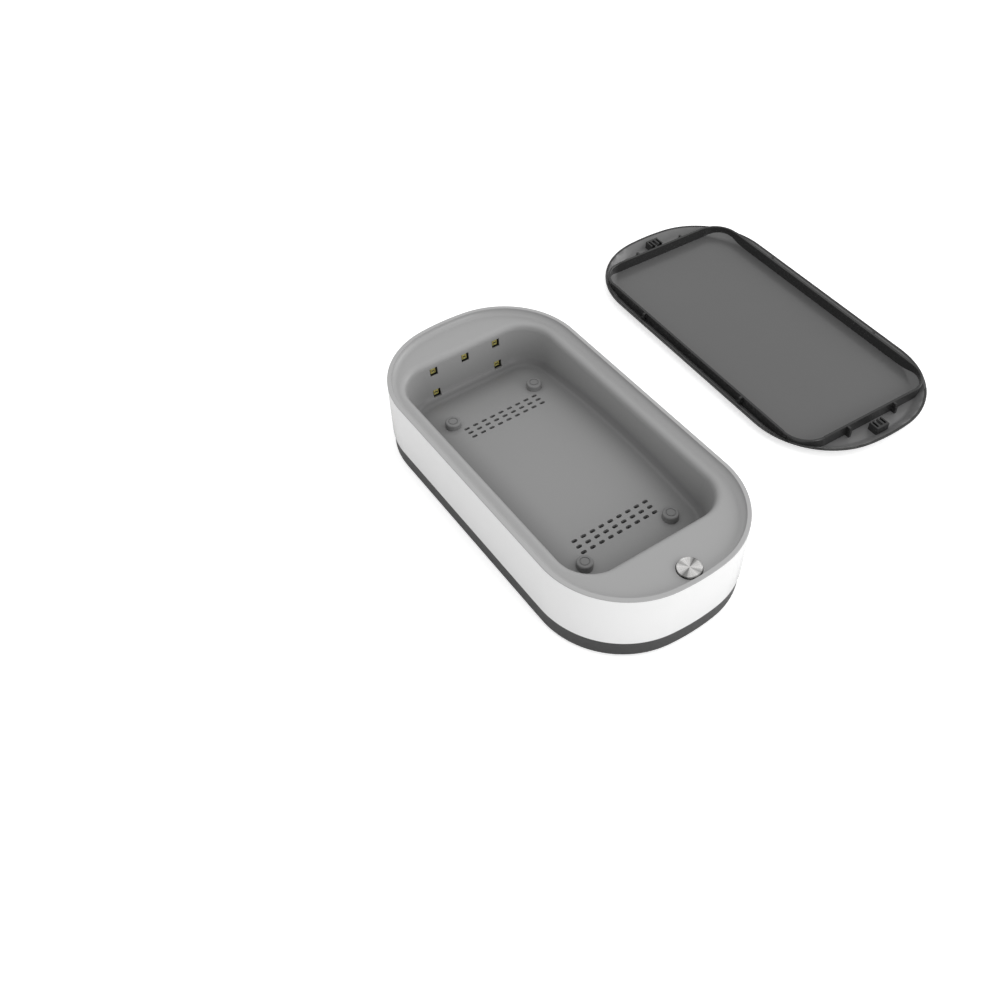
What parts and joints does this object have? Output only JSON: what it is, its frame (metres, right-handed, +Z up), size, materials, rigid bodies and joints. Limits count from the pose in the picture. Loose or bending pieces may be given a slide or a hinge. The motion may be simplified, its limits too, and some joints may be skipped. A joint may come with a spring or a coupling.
{
  "type": "uv sanitizer box for phones",
  "caption": "Long rounded tray with a domed vented floor and ultraviolet lamps in its end walls, a round power button on its ledge, and a loose smoked lid lying upside down beside it.",
  "frame": {"origin": "middle of the pan's flat underside; the rubber feet stand 1 mm below it", "axes": "+Z up out of the tray, +Y along the box away from the button, +X across the box towards the lid that lies beside it"},
  "size_m": [0.3012, 0.267, 0.046],
  "materials": {
    "liner": "satin light grey",
    "band": "gloss white",
    "pan": "dark grey, fine texture",
    "rubber": "grey silicone",
    "foot": "black",
    "board": "black solder mask",
    "lamp": "pale ceramic with a yellow face",
    "switch": "black",
    "plunger": "grey",
    "button": "spun",
    "socket": "bright",
    "screw": "zinc plated",
    "magnet": "nickel plated",
    "lid": "smoked translucent"
  },
  "bodies": {
    "housing": {"base_pan": "pan", "outer_band": "band", "tray_liner": "liner", "phone_rest_1": "rubber", "phone_rest_2": "rubber", "phone_rest_3": "rubber", "phone_rest_4": "rubber", "foot_1": "foot", "foot_2": "foot", "foot_3": "foot", "foot_4": "foot", "uv_board_far": "board", "uv_board_near": "board", "uv_led_far_1": "lamp", "uv_led_far_2": "lamp", "uv_led_far_3": "lamp", "uv_led_far_4": "lamp", "uv_led_far_5": "lamp", "uv_led_near_1": "lamp", "uv_led_near_2": "lamp", "uv_led_near_3": "lamp", "uv_led_near_4": "lamp", "uv_led_near_5": "lamp", "control_board": "board", "tact_switch": "switch", "usb_board": "board", "usb_socket": "socket", "lid_sensor": "switch", "board_screws": "screw", "case_screws": "screw"},
    "button": {"button_cap": "button", "button_plunger": "plunger", "switch_stem": "switch"},
    "lid": {"lid_shell": "lid", "lid_magnet_far": "magnet", "lid_magnet_near": "magnet"}
  },
  "joints": [
    {"name": "button_press", "type": "slide", "parent": "housing", "child": "button", "axis": [0, 0, -1], "range_m": [0, 0.0005], "stiffness_N_per_m": 300, "springref_m": -0.001},
    {"name": "lid_lift", "type": "slide", "parent": "housing", "child": "lid", "axis": [0, 0, 1], "range_m": [0, 0.06]}
  ]
}
